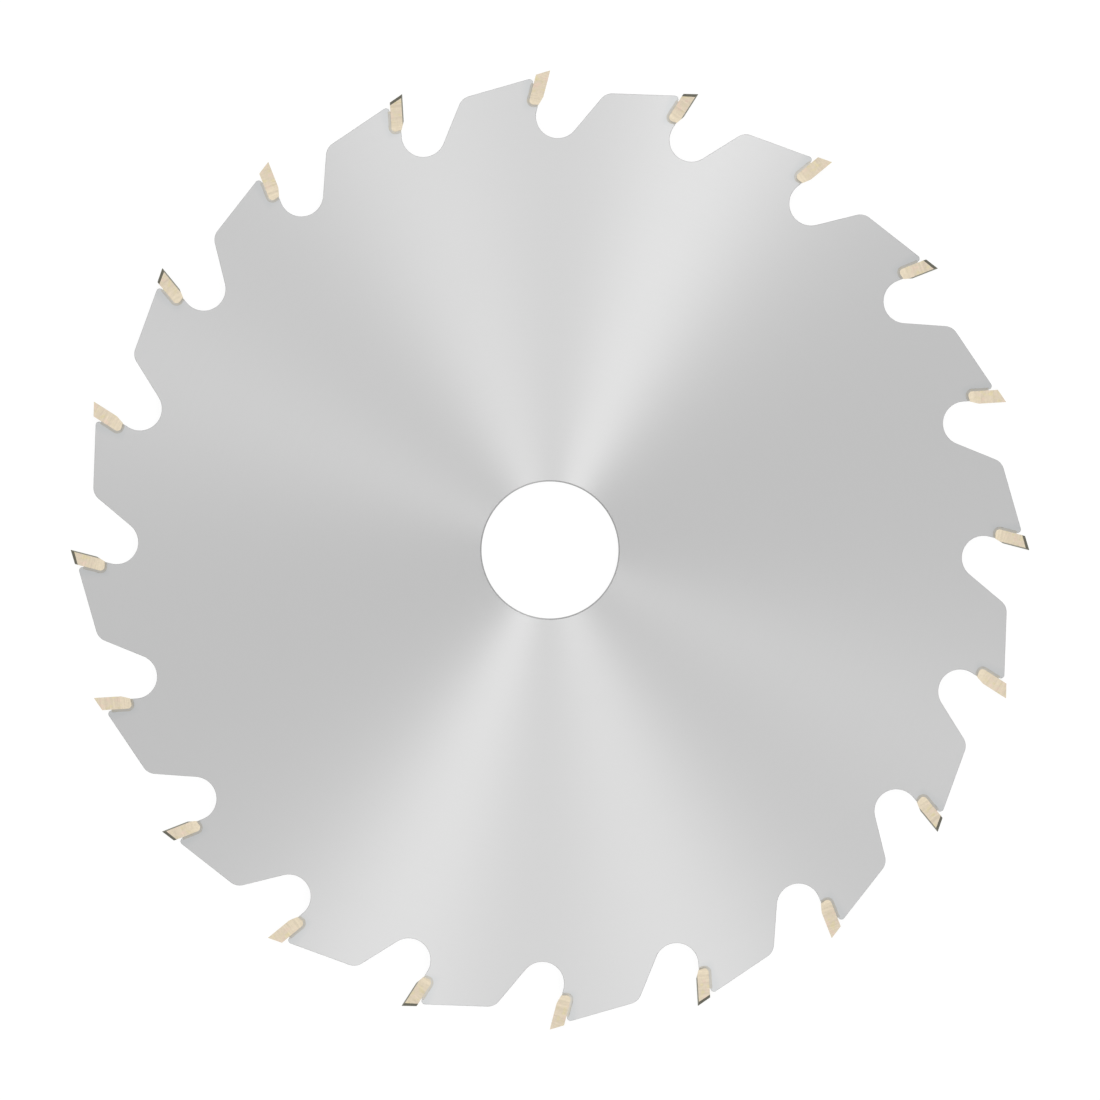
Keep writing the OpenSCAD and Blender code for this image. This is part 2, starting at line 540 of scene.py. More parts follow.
class NodeGraph:
    """Builds the nodes of one material or of the world."""

    def __init__(self, tree: bpy.types.NodeTree) -> None:
        """Starts from an empty node tree."""
        self.tree = tree
        self.tree.nodes.clear()

    def node(
        self,
        kind: str,
        settings: Optional[dict[str, Any]] = None,
        sockets: Optional[Sockets] = None,
    ) -> bpy.types.Node:
        """Adds a node of any kind.

        Args:
            kind: Blender's name of the node type.
            settings: Properties of the node, which are set first.
            sockets: Values or links of its inputs, by name or number.

        Returns:
            The node.
        """
        made = self.tree.nodes.new(kind)
        for name, setting in (settings or {}).items():
            setattr(made, name, setting)
        for key, given in (sockets or {}).items():
            source = given.socket if isinstance(given, Shade) else given
            if isinstance(source, bpy.types.NodeSocket):
                self.tree.links.new(source, made.inputs[key])
            else:
                made.inputs[key].default_value = source
        return made

    def maths(self, operation: str, *values: Any) -> Shade:
        """Adds one Math node and wraps its result."""
        made = self.node("ShaderNodeMath", {"operation": operation}, dict(enumerate(values)))
        return Shade(self, made.outputs[0])

    def parts(self, vector: bpy.types.NodeSocket) -> Place:
        """Splits a vector into its three numbers."""
        split = self.node("ShaderNodeSeparateXYZ", None, {0: vector})
        return Shade(self, split.outputs[0]), Shade(self, split.outputs[1]), Shade(self, split.outputs[2])

    def place(self) -> Place:
        """Object coordinates, in millimetres."""
        x, y, z = self.parts(self.node("ShaderNodeTexCoord").outputs["Object"])
        return x / MM, y / MM, z / MM

    def own(self, name: str) -> Place:
        """A vector attribute that the piece carries, as three numbers."""
        read = self.node("ShaderNodeAttribute", {"attribute_name": name})
        return self.parts(read.outputs["Vector"])

    def noise(self, layer: Layer, *place: Any) -> Shade:
        """Noise of about one feature per unit of its coordinates, swinging round zero.

        Args:
            layer: What the noise is for, which gives its octaves.
            place: The three coordinates.

        Returns:
            The noise, mostly from -0.5 to 0.5.
        """
        vector = self.node("ShaderNodeCombineXYZ", None, dict(enumerate(place))).outputs[0]
        sockets = {"Vector": vector, "Scale": 1.0, "Detail": layer.octaves, "Roughness": layer.keep}
        made = self.node("ShaderNodeTexNoise", {"noise_dimensions": "3D"}, sockets)
        return Shade(self, made.outputs[0]) - 0.5

    def even_noise(self, layer: Layer, place: Place) -> Shade:
        """Noise at its layer's own rate, alike in all directions."""
        return self.noise(layer, *(part * layer.rate for part in place))

    def slope(self, value: Shade, start: float, end: float) -> Shade:
        """Smooth rise from 0 to 1.

        Args:
            value: What the rise follows.
            start: Value where it is 0.
            end: Value where it is 1.

        Returns:
            The rise.
        """
        sockets = {"Value": value, "From Min": start, "From Max": end}
        made = self.node("ShaderNodeMapRange", {"interpolation_type": "SMOOTHSTEP"}, sockets)
        return Shade(self, made.outputs[0])

    def dip(self, value: Shade, place: float, width: float) -> Shade:
        """Narrow line: 1 where a value is at a place, falling smoothly to 0 at a width from it."""
        aside = value - place
        return 1.0 - self.slope(aside * aside, 0.0, width * width)

    def mix(self, share: Any, first: Any, second: Any, blend: str = "MIX") -> bpy.types.NodeSocket:
        """Mixes two colours.

        Args:
            share: How much of the second colour there is.
            first: A colour or a colour socket.
            second: A colour or a colour socket.
            blend: Blender's name of the way they mix.

        Returns:
            The mixed colour.
        """
        settings = {"data_type": "RGBA", "blend_type": blend}
        made = self.node("ShaderNodeMix", settings, {0: share, 6: first, 7: second})
        return made.outputs[2]

    def brightened(self, colour: Any, gain: Shade) -> bpy.types.NodeSocket:
        """A colour multiplied by a number that varies over the surface.

        Args:
            colour: A colour or a colour socket.
            gain: The number.

        Returns:
            The product.
        """
        sockets = {0: gain, 1: gain, 2: gain}
        grey = self.node("ShaderNodeCombineColor", None, sockets).outputs[0]
        return self.mix(1.0, colour, grey, "MULTIPLY")

    def bump(self, height: Shade, strength: float, depth: float) -> bpy.types.NodeSocket:
        """Normal of a relief.

        Args:
            height: Height over the surface, of about one unit.
            strength: Share of the relief that shows.
            depth: Depth of one unit of height, in millimetres.

        Returns:
            The normal.
        """
        sockets = {"Strength": strength, "Distance": depth * MM, "Height": height}
        return self.node("ShaderNodeBump", None, sockets).outputs[0]


# Finishes


def screen_colour(red: float, green: float, blue: float) -> Colour:
    """Colour of the screen's 0 to 255 scale as light: ((c + 0.055) / 1.055) to the power 2.4."""
    shares = (np.array([red, green, blue]) / 255.0 + 0.055) / 1.055
    return (*(shares**2.4).tolist(), 1.0)


@dataclass(frozen=True)
class Finish:
    """A surface finish, which becomes one material."""

    name: str

    def material(self) -> bpy.types.Material:
        """Makes the material from its shader sockets.

        Returns:
            The material.
        """
        made = bpy.data.materials.new(self.name)
        made.use_nodes = True
        graph = NodeGraph(made.node_tree)
        shader = graph.node("ShaderNodeBsdfPrincipled", None, self.sockets(graph))
        graph.node("ShaderNodeOutputMaterial", None, {"Surface": shader.outputs[0]})
        return made

    def sockets(self, graph: NodeGraph) -> Sockets:
        """Values and links of the shader's sockets.

        Args:
            graph: Graph of the material.

        Returns:
            The values and links, by the socket's name.
        """
        raise NotImplementedError


@dataclass(frozen=True)
class BareMetal(Finish):
    """Metal whose marks vary its colour, its gloss and its relief.

    The unevenness is what one unit of the marks adds to the roughness. Glancing tints a reflection at
    a low angle, and the stretch draws a reflection out in the direction that its turn gives.
    """

    colour: Colour
    unevenness: float
    relief: Relief
    roughness: float
    glancing: Colour = WHITE
    stretch: float = 0.0
    stretch_turn: float = 0.0

    def metal(self, graph: NodeGraph, colour: Any, gain: Shade, marks: Shade, height: Shade) -> Sockets:
        """Sockets of the marked metal.

        Args:
            graph: Graph of the material.
            colour: Colour of the metal.
            gain: Brightness that multiplies the colour.
            marks: Pattern that makes the gloss uneven.
            height: Height of the relief.

        Returns:
            Values and links of the shader's sockets.
        """
        return {
            "Base Color": graph.brightened(colour, gain),
            "Metallic": 1.0,
            "Roughness": self.roughness + marks * self.unevenness,
            "Specular Tint": self.glancing,
            "Anisotropic": self.stretch,
            "Anisotropic Rotation": self.stretch_turn,
            "Normal": graph.bump(height, *self.relief),
        }


@dataclass(frozen=True)
class RingGround(BareMetal):
    """Metal ground in fine rings round the bore, which spread a reflection along the radius.

    Seen at a low angle the rings shade each other, so a glancing reflection is darker there.
    """

    roughness: float = 0.585
    glancing: Colour = (0.15, 0.15, 0.15, 1.0)
    stretch: float = 0.88
    stretch_turn: float = 0.25


@dataclass(frozen=True)
class GroundSteel(RingGround):
    """Plate steel with its grinding rings and a faint heat stain behind each tip.

    The rates along the rings are features per radian. The stain's spans are millimetres ahead of the
    radius through the cutting point and millimetres from the axis, and a share of the pitch ahead of
    that radius the next tooth's stain takes over.
    """

    name: str = "ground_plate_steel"
    colour: Colour = (0.738, 0.738, 0.738, 1.0)
    unevenness: float = 1.2
    relief: Relief = (0.08, 0.02)
    fine: Layer = Layer(5.0, 0.05, 3.0, 0.6, along=5.0)
    broad: Layer = Layer(0.7, 0.02, along=2.0)
    stained: Colour = (0.699, 0.708, 0.712, 1.0)
    tooth: ToothForm = ToothForm()
    stain_behind: Span = (-6.6, -4.8)
    stain_radius: Span = (96.0, 97.6)
    stain_ahead: float = 0.15

    def stain(self, graph: NodeGraph, x: Shade, y: Shade, radius: Shade) -> Shade:
        """Heat stain, from 1 at the braze to 0 where the heat of brazing no longer coloured the steel.

        The angle from the top is wrapped into one pitch, so that radius * sin is the distance from the
        radius through the cutting point. The stain fades behind the tip and below its foot.

        Args:
            graph: Graph of the material.
            x: Place along X, in millimetres.
            y: Place along Y.
            radius: Distance from the axis.

        Returns:
            The strength of the stain.
        """
        pitch = math.radians(self.tooth.pitch)
        limits = (self.stain_ahead * pitch, (self.stain_ahead - 1.0) * pitch)
        turn = graph.maths("WRAP", graph.maths("ARCTAN2", x, y), *limits)
        ahead = radius * graph.maths("SINE", turn)
        return graph.slope(ahead, *self.stain_behind) * graph.slope(radius, *self.stain_radius)

    def sockets(self, graph: NodeGraph) -> Sockets:
        """Values and links of the shader's sockets.

        Args:
            graph: Graph of the material.

        Returns:
            The values and links, by the socket's name.
        """
        x, y, z = graph.place()
        radius = (x * x + y * y) ** 0.5
        across, up = x / radius, y / radius
        run, rate = self.fine.along, self.fine.rate
        fine = graph.noise(self.fine, across * run, up * run, radius * rate)
        run, rate = self.broad.along, self.broad.rate
        broad = graph.noise(self.broad, across * run, up * run, radius * rate + z)
        rings = fine * self.fine.weight + broad * self.broad.weight
        colour = graph.mix(self.stain(graph, x, y, radius), self.colour, self.stained)
        return self.metal(graph, colour, 1.0 + rings, rings, fine)


@dataclass(frozen=True)
class CutSteel(BareMetal):
    """Edge of the plate as it was cut, with fine marks across its thickness."""

    name: str = "cut_plate_edge"
    colour: Colour = (0.34, 0.34, 0.335, 1.0)
    unevenness: float = 0.15
    relief: Relief = (0.3, 0.03)
    roughness: float = 0.42
    marks: Layer = Layer(4.0, 0.25, 3.0, 0.6, along=0.3)
    grain: Layer = Layer(9.0, 0.08, 1.0)

    def sockets(self, graph: NodeGraph) -> Sockets:
        """Values and links of the shader's sockets.

        Args:
            graph: Graph of the material.

        Returns:
            The values and links, by the socket's name.
        """
        place = graph.place()
        x, y, z = place
        rate = self.marks.rate
        marks = graph.noise(self.marks, x * rate, y * rate, z * self.marks.along)
        grain = graph.even_noise(self.grain, place)
        gain = 1.0 + marks * self.marks.weight + grain * self.grain.weight
        return self.metal(graph, self.colour, gain, marks, marks)


@dataclass(frozen=True)
class ReamedSteel(BareMetal):
    """Bore and its chamfers, turned to size, with rings round the bore, darker than the plate's steel as
    painted shade on the chamfers.
    """

    name: str = "reamed_bore_steel_with_painted_shade"
    # Darker than the plate's steel: painted shade on the bore's chamfers
    colour: Colour = (0.45, 0.45, 0.45, 1.0)
    unevenness: float = 0.1
    relief: Relief = (0.2, 0.02)
    roughness: float = 0.36
    rings: Layer = Layer(9.0, 0.16, 2.0, 0.6, along=0.1)

    def sockets(self, graph: NodeGraph) -> Sockets:
        """Values and links of the shader's sockets.

        Args:
            graph: Graph of the material.

        Returns:
            The values and links, by the socket's name.
        """
        x, y, z = graph.place()
        radius = (x * x + y * y) ** 0.5
        run, rate = self.rings.along, self.rings.rate
        rings = graph.noise(self.rings, x * run, y * run, z * rate + radius * rate)
        return self.metal(graph, self.colour, 1.0 + rings * self.rings.weight, rings, rings)


@dataclass(frozen=True)
class CarbideGround(BareMetal):
    """Freshly ground top or face of a tip, dark, with the wheel's lines across it."""

    name: str = "ground_carbide_top"
    colour: Colour = screen_colour(128, 126, 115)
    unevenness: float = 0.15
    relief: Relief = (0.25, 0.02)
    roughness: float = 0.34
    glancing: Colour = (0.4, 0.4, 0.38, 1.0)
    lines: Layer = Layer(6.0, 0.35, 2.0, 0.6, along=0.4)

    def sockets(self, graph: NodeGraph) -> Sockets:
        """Values and links of the shader's sockets.

        Args:
            graph: Graph of the material.

        Returns:
            The values and links, by the socket's name.
        """
        down, back, height = graph.own("tip_place")
        rate = self.lines.rate
        lines = graph.noise(self.lines, down * rate, back * rate, height * self.lines.along)
        return self.metal(graph, self.colour, 1.0 + lines * self.lines.weight, lines, lines)


@dataclass(frozen=True)
class BrazeAlloyAndPaintedShadow(RingGround):
    """Braze seam, a dull warm grey that has set unevenly and was ground together with the plate; its
    darkness is partly the braze and partly painted shadow along the tip's edges.
    """

    name: str = "ground_braze_seam_and_painted_shadow"
    # Darker than the plate's steel: partly the braze's own grey, partly painted shadow of the tip's edges
    # on the plate
    colour: Colour = (0.611, 0.592, 0.549, 1.0)
    unevenness: float = 0.15
    relief: Relief = (0.1, 0.03)
    brass: Colour = (0.636, 0.596, 0.496, 1.0)
    brass_flow: Span = (-0.05, 0.3)
    flow: Layer = Layer(1.6, 0.2)
    grain: Layer = Layer(8.0, 0.12, 1.0)
    grain_height: float = 0.3

    def sockets(self, graph: NodeGraph) -> Sockets:
        """Values and links of the shader's sockets.

        Args:
            graph: Graph of the material.

        Returns:
            The values and links, by the socket's name.
        """
        place = graph.place()
        flow = graph.even_noise(self.flow, place)
        grain = graph.even_noise(self.grain, place)
        colour = graph.mix(graph.slope(flow, *self.brass_flow), self.colour, self.brass)
        gain = 1.0 + flow * self.flow.weight + grain * self.grain.weight
        return self.metal(graph, colour, gain, flow, flow + grain * self.grain_height)


@dataclass(frozen=True)
class CarbideSide(Finish):
    """Tan side of a tip, with faint marks across it, a mottled tint and a paler foot.

    The lines, foot, bands and marks follow the distance down the face, in millimetres. The drift is the
    rate at which the marks change from tip to tip, and the batch makes some tips darker than others.
    """

    name: str = "tan_carbide_side"
    tan: Colour = screen_colour(203, 190, 168)
    pink: Colour = screen_colour(208, 188, 169)
    straw: Colour = screen_colour(203, 191, 156)
    foot: Colour = screen_colour(211, 198, 174)
    foot_down: Span = (4.6, 7.4)
    brightness: float = 0.99
    roughness: float = 0.5
    unevenness: float = 0.15
    gloss: float = 0.35
    relief: Relief = (0.25, 0.03)
    line_places: tuple[float, ...] = (2.65, 5.15, 6.65)
    line_width: float = 0.35
    line_weight: float = -0.045
    line_height: float = -0.3
    tint: Layer = Layer(0.8, 0.0, 1.0)
    tint_rise: Span = (0.02, 0.22)
    batch: Layer = Layer(0.06, 0.12, 0.0)
    band: Layer = Layer(1.1, 0.09, 1.0, along=0.05)
    mottle: Layer = Layer(1.8, 0.16, 1.0)
    marks: Layer = Layer(3.2, 0.34, 2.0, 0.6, along=0.25)
    mark_drift: float = 0.1
    grain: Layer = Layer(5.0, 0.26, 2.0, 0.6)
    grain_height: float = 0.5

    def sockets(self, graph: NodeGraph) -> Sockets:
        """Values and links of the shader's sockets.

        Args:
            graph: Graph of the material.

        Returns:
            The values and links, by the socket's name.
        """
        place = graph.place()
        x, y, _ = place
        down, back, _ = graph.own("tip_place")
        tint, mottle, grain = (
            graph.even_noise(layer, place) for layer in (self.tint, self.mottle, self.grain)
        )
        batch = graph.noise(self.batch, x * self.batch.rate, y * self.batch.rate, 0.0)
        run, rate = self.band.along, self.band.rate
        band = graph.noise(self.band, down * rate, x * run, y * run)
        run, rate = self.marks.along, self.marks.rate
        marks = graph.noise(self.marks, down * rate, back * run, x * self.mark_drift)
        lines = sum(graph.dip(down, spot, self.line_width) for spot in self.line_places)
        start, end = self.tint_rise
        colour = graph.mix(graph.slope(tint, start, end), self.tan, self.pink)
        colour = graph.mix(graph.slope(tint, -start, -end), colour, self.straw)
        colour = graph.mix(graph.slope(down, *self.foot_down), colour, self.foot)
        broad = batch * self.batch.weight + band * self.band.weight + mottle * self.mottle.weight
        fine = marks * self.marks.weight + grain * self.grain.weight
        gain = self.brightness + lines * self.line_weight + broad + fine
        height = marks + grain * self.grain_height + lines * self.line_height
        return {
            "Base Color": graph.brightened(colour, gain),
            "Metallic": 0.0,
            "Roughness": self.roughness + marks * self.unevenness,
            "Specular IOR Level": self.gloss,
            "Normal": graph.bump(height, *self.relief),
        }


@dataclass(frozen=True)
class PaleFloor(Finish):
    """Plain matt studio floor of a lit table, which glows too much for deep shadows."""

    name: str = "pale_studio_floor"
    colour: Colour = (0.12, 0.12, 0.12, 1.0)
    light: Colour = WHITE
    glow: float = 0.9
    roughness: float = 0.9
    gloss: float = 0.1

    def sockets(self, graph: NodeGraph) -> Sockets:
        """Values of the shader's sockets.

        Args:
            graph: Graph of the material.

        Returns:
            The values, by the socket's name.
        """
        return {
            "Base Color": self.colour,
            "Roughness": self.roughness,
            "Specular IOR Level": self.gloss,
            "Emission Color": self.light,
            "Emission Strength": self.glow,
        }


# Pieces of the blade


class PlateSurface(IntEnum):
    """Material slots of the plate."""

    BROAD_FACE = 0
    CUT_EDGE = 1
    BORE = 2


class TipSurface(IntEnum):
    """Material slots of a tip."""

    SIDE = 0
    TOP = 1
    FACE = 2


def dress(
    piece: bpy.types.Object, materials: Sequence[bpy.types.Material], node: str
) -> None:
    """Gives a piece its materials and puts it in the place of a CAD node.

    Args:
        piece: The finished piece.
        materials: One material for each of its material slots.
        node: The CAD node that the piece stands for.
    """
    for material in materials:
        piece.data.materials.append(material)
    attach(piece, "root")
    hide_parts(node)
    LOG.info("%s stands for %s with %d faces", piece.name, node, len(piece.data.polygons))


@dataclass
class SawPlate:
    """The steel plate with its teeth, seats, gullets and bore."""

    tooth: ToothForm
    bore_radius: float = 15.0
    bore_chamfer: float = 0.3
    edge_break: float = 0.06
    land_steps: int = 12
    web_steps: int = 8

    def outline(self) -> Points:
        """Plate's outline, clockwise: each tooth's rear edge, land and front edge, tooth after tooth.

        Returns:
            Array of shape (teeth, points of a tooth, 2).
        """
        rear, front = self.tooth.rear_edge(), self.tooth.front_edge()
        land = straight(rear[-1], front[-1], self.land_steps)[1:]
        edge = np.concatenate([rear, land, front[:0:-1]])
        return np.stack([self.tooth.to_blade(edge, index) for index in range(self.tooth.teeth)])

    def broken_outline(self, outline: Points) -> Points:
        """Outline of the broad face, which is smaller than the plate's by the broken edge.

        Args:
            outline: Outline of the plate.

        Returns:
            The smaller outline, of the same shape, with the land's points spread evenly.
        """
        inner = mitred(outline.reshape(-1, 2), self.edge_break).reshape(outline.shape)
        first = len(self.tooth.rear_edge()) - 1
        last = first + self.land_steps
        inner[:, first : last + 1] = between(inner[:, first], inner[:, last], self.land_steps)
        return inner

    def add_broad_face(self, surfaces: Surfaces, inner: Points, height: float) -> Points:
        """Adds one broad face: ruled surfaces across each tooth, and across the web down to the bore.

        A tooth's surface joins the points of its rear edge to those of its front edge, row by row, up
        to the land. The web's joins the lowest row of each tooth to the bore's rim.

        Args:
            surfaces: Where the grids go.
            inner: Outline of the broad face.
            height: Height of the face.

        Returns:
            Unit vectors from the axis to the points of the bore's rim.
        """
        edge_points = len(self.tooth.rear_edge())
        rear = inner[:, :edge_points]
        floor = np.roll(inner[:, :1], -1, axis=0)
        front = np.concatenate([floor, inner[:, : edge_points + self.land_steps - 2 : -1]], axis=1)
        patches = between(rear, front, self.land_steps)
        base = patches[:, 0, :-1].reshape(-1, 2)
        towards = base / np.linalg.norm(base, axis=1, keepdims=True)
        rim = (self.bore_radius + self.bore_chamfer) * towards
        web = between(rim, base, self.web_steps).swapaxes(0, 1)
        for patch in patches:
            surfaces.add_grid(at_height(patch, height), PlateSurface.BROAD_FACE)
        surfaces.add_grid(at_height(web, height), PlateSurface.BROAD_FACE, ring=True)
        return towards

    def build(self) -> bpy.types.Object:
        """Builds the plate from its two broad faces, its cut edge with broken corners, and its bore.

        Returns:
            The plate.
        """
        top = self.tooth.plate_thickness / 2.0
        outline = self.outline()
        inner = self.broken_outline(outline)
        surfaces = Surfaces()
        self.add_broad_face(surfaces, inner, top)
        towards = self.add_broad_face(surfaces, inner, -top)
        wall = top - self.edge_break
        rings = ((inner, top), (outline, wall), (outline, -wall), (inner, -top))
        edge = np.stack([at_height(ring.reshape(-1, 2), level) for ring, level in rings])
        surfaces.add_grid(edge, PlateSurface.CUT_EDGE, ring=True)
        hole, rim, depth = self.bore_radius, self.bore_radius + self.bore_chamfer, top - self.bore_chamfer
        circles = ((rim, top), (hole, depth), (hole, -depth), (rim, -top))
        bore = np.stack([at_height(radius * towards, level) for radius, level in circles])
        surfaces.add_grid(bore, PlateSurface.BORE, ring=True)
        return surfaces.closed_piece("saw_plate")

    def make(self) -> None:
        """Builds and dresses the plate."""
        materials = [finish.material() for finish in (GroundSteel(), CutSteel(), ReamedSteel())]
        dress(self.build(), materials, "blade_body")


@dataclass
class CarbideTips:
    """The brazed cutting tips, bevelled to alternate sides."""

    tooth: ToothForm
    heel_steps: int = 10

    def flat_planes(self) -> tuple[Points, Points]:
        """Planes round a tip that stand square to the blade or lean across it, in order round the tip.

        Each plane is a unit normal n and a point p. The top and the face go through the outer corner
        of the cutting edge and lean by their bevels; the rest stand square. The heel is a run of
        planes that touch its round corner.

        Returns:
            The normals and the points, each of shape (planes, 3): top, back, heel, foot, chamfer, face.
        """
        form = self.tooth
        outer_corner = np.array([0.0, 0.0, form.kerf / 2.0])
        top_lean, face_lean = math.radians(form.top_bevel), math.radians(form.face_bevel)
        top = np.append(math.cos(top_lean) * leftward(form.clearance), -math.sin(top_lean))
        face = np.append(-math.cos(face_lean) * leftward(form.face_angle), -math.sin(face_lean))
        touching = np.linspace(form.face_angle + 90.0, DOWN, self.heel_steps)
        heel = at_height(np.stack([along(angle) for angle in touching]), 0.0)
        heel_points = at_height(form.heel_centre + form.heel_radius * heel[:, :2], 0.0)
        wall = beside(form.wall_point, form.face_angle, -form.foot_proud)
        chamfer_foot = meet(wall, form.face_angle, form.foot_point, 0.0)
        chamfer_level = form.foot_point + [0.0, form.foot_chamfer]
        run = meet(np.zeros(2), form.face_angle, chamfer_level, 0.0) - chamfer_foot
        chamfer = np.array([run[1], -run[0], 0.0]) / np.linalg.norm(run)
        normals = np.concatenate([top[None], heel, chamfer[None], face[None]])
        points = np.concatenate(
            [outer_corner[None], heel_points, np.append(chamfer_foot, 0.0)[None], outer_corner[None]]
        )
        return normals, points

    def side_plane(self) -> tuple[Points, Points]:
        """Plane of a tip's outer side, which leans in towards the back and the foot.

        Returns:
            Its unit normal and the outer corner of the cutting edge, which lies in it.
        """
        form = self.tooth
        back_lean, foot_lean = math.radians(form.back_relief), math.radians(form.foot_relief)
        share_down, share_back = -math.cos(back_lean) * math.sin(foot_lean), math.sin(back_lean)
        flat = share_down * along(form.face_angle) + share_back * leftward(form.face_angle)
        normal = np.append(flat, math.cos(back_lean) * math.cos(foot_lean))
        return normal, np.array([0.0, 0.0, form.kerf / 2.0])

    def corners(self) -> Points:
        """Corners of a tip on its two sides.

        Each is where two neighbouring planes and a side meet: the three equations n . x = n . p.

        Returns:
            Array of shape (2, corners, 3), the upper side first.
        """
        normals, points = self.flat_planes()
        levels = np.sum(normals * points, axis=1)
        side, side_point = self.side_plane()
        flip = np.array([1.0, 1.0, -1.0])
        rings = []
        for normal, point in ((side, side_point), (side * flip, side_point * flip)):
            sides = np.broadcast_to(normal, normals.shape)
            planes = np.stack([normals, np.roll(normals, -1, axis=0), sides], axis=1)
            side_level = np.full(len(levels), normal @ point)
            known = np.stack([levels, np.roll(levels, -1), side_level], axis=1)
            rings.append(np.linalg.solve(planes, known[..., None])[..., 0])
        return np.stack(rings)

    def mark_places(self, piece: bpy.types.Object, index: int) -> None:
        """Stores where each point lies on the tip: millimetres down the face, behind it, and up.

        Args:
            piece: The tip.
            index: Number of its tooth, from 0.
        """
        mesh = piece.data
        places = np.empty(len(mesh.vertices) * 3, dtype=np.float32)
        mesh.vertices.foreach_get("co", places)
        local = self.tooth.to_tooth(places.reshape(-1, 3).astype(float) / MM, index)
        down = -local[:, :2] @ along(self.tooth.face_angle)
        back = local[:, :2] @ leftward(self.tooth.face_angle)
        stored = mesh.attributes.new("tip_place", "FLOAT_VECTOR", "POINT")
        values = np.stack([down, back, local[:, 2]], axis=-1).astype(np.float32)
        stored.data.foreach_set("vector", values.ravel())

    def build(self, index: int) -> bpy.types.Object:
        """Builds one tip from its two sides and the faces round it, of which face and top come last.

        Args:
            index: Number of the tooth, from 0. Every second tip is bevelled the other way.

        Returns:
            The tip.
        """
        rings = self.corners()
        rings[..., 2] *= -1.0 if index % 2 else 1.0
        rings = self.tooth.to_blade(rings, index)
        surfaces = Surfaces()
        for ring in rings:
            surfaces.add_cap(ring, TipSurface.SIDE)
        closed = np.concatenate([rings, rings[:, :1]], axis=1)
        last = closed.shape[1] - 1
        surfaces.add_grid(closed[:, : last - 1], TipSurface.SIDE)
        surfaces.add_grid(closed[:, last - 2 : last], TipSurface.FACE)
        surfaces.add_grid(closed[:, last - 1 :], TipSurface.TOP)
        piece = surfaces.closed_piece(f"carbide_tip_{index + 1:02d}")
        self.mark_places(piece, index)
        return piece

    def make(self) -> None:
        """Builds and dresses every tip."""
        face = CarbideGround("lapped_carbide_face", screen_colour(165, 163, 148))
        materials = [finish.material() for finish in (CarbideSide(), CarbideGround(), face)]
        for index in range(self.tooth.teeth):
            dress(self.build(index), materials, f"tip_{index + 1:02d}")


@dataclass
class BrazeSeams:
    """The seams of braze that hold the tips, each with a low fillet that runs out on the plate.

    The path steps are the points down a tip's back, round its heel and under its foot. A toe is how far
    the fillet reaches past the seat.
    """

    tooth: ToothForm
    path_steps: tuple[int, int, int] = (8, 10, 4)
    back_toe: float = 0.37
    foot_toe: float = 0.34
    fillet_height: float = 0.03
    fillet_power: float = 2.2
    fillet_steps: int = 6
    toe_height: float = 0.004
    sharp: float = 40.0

    def path(self) -> tuple[Points, Points]:
        """Line where the seam touches the tip, down its back, round its heel and along its foot.

        Returns:
            The points of the line, and at each the step that leads one millimetre away from the tip.
        """
        form = self.tooth
        back_steps, heel_steps, foot_steps = self.path_steps
        side = form.face_angle + 90.0
        start = form.shoulder_back - form.braze_thickness * along(side)
        heel_back = form.heel_centre + form.heel_radius * along(side)
        heel_foot = form.heel_centre + form.heel_radius * along(DOWN)
        front = meet(form.wall_point, form.face_angle, form.foot_point, 0.0)
        down_back = straight(start, heel_back, back_steps)
        round_heel = rounded(form.heel_centre, form.heel_radius, side, DOWN, heel_steps)
        under_foot = np.concatenate([straight(heel_foot, front, foot_steps), front[None]])
        away_foot = np.tile(along(DOWN), (len(under_foot), 1))
        away_foot[-1] = -along(form.face_angle) / math.sin(math.radians(form.face_angle))
        points = np.concatenate([down_back, round_heel, under_foot])
        away = np.concatenate(
            [
                np.tile(along(side), (len(down_back), 1)),
                (round_heel - form.heel_centre) / form.heel_radius,
                away_foot,
            ]
        )
        return points, away

    def profiles(self, away: Points) -> Points:
        """Sections of a seam: a web as thick as the plate, with a low fillet on each broad face.

        The fillet's height falls from the tip to its toe as a power of (1 - t), and the toe changes from
        the back's to the foot's as the seam turns.

        Args:
            away: Steps that lead away from the tip along the path.

        Returns:
            Closed rings of shape (sections, n, 2): distance from the tip, and height.
        """
        plate_top = self.tooth.plate_thickness / 2.0
        share = np.linspace(0.0, 1.0, self.fillet_steps + 1)
        turn = (away[:, 1] - away[0, 1]) / (-1.0 - away[0, 1])
        toe = self.back_toe + (self.foot_toe - self.back_toe) * turn
        reach = (self.tooth.braze_thickness + toe)[:, None] * share
        rise = plate_top + self.toe_height + self.fillet_height * (1.0 - share) ** self.fillet_power
        upper = np.stack([reach, np.broadcast_to(rise, reach.shape)], axis=-1)
        step = np.array([self.tooth.braze_thickness, plate_top])
        half = np.concatenate([upper, np.broadcast_to(step, (len(away), 1, 2))], axis=1)
        return np.concatenate([half, half[:, ::-1] * [1.0, -1.0]], axis=1)

    def build(self, index: int) -> bpy.types.Object:
        """Carries the section along the path and closes both ends.

        Args:
            index: Number of the tooth, from 0.

        Returns:
            The seam.
        """
        points, away = self.path()
        sections = self.profiles(away)
        flat = points[:, None] + sections[..., :1] * away[:, None]
        grid = self.tooth.to_blade(at_height(flat, sections[..., 1]), index)
        surfaces = Surfaces()
        surfaces.add_grid(grid, 0, ring=True)
        surfaces.add_cap(grid[0], 0)
        surfaces.add_cap(grid[-1], 0)
        return surfaces.closed_piece(f"braze_seam_{index + 1:02d}", self.sharp)

    def make(self) -> None:
        """Builds and dresses every seam."""
        materials = [BrazeAlloyAndPaintedShadow().material()]
        for index in range(self.tooth.teeth):
            dress(self.build(index), materials, f"braze_{index + 1:02d}")


# Studio


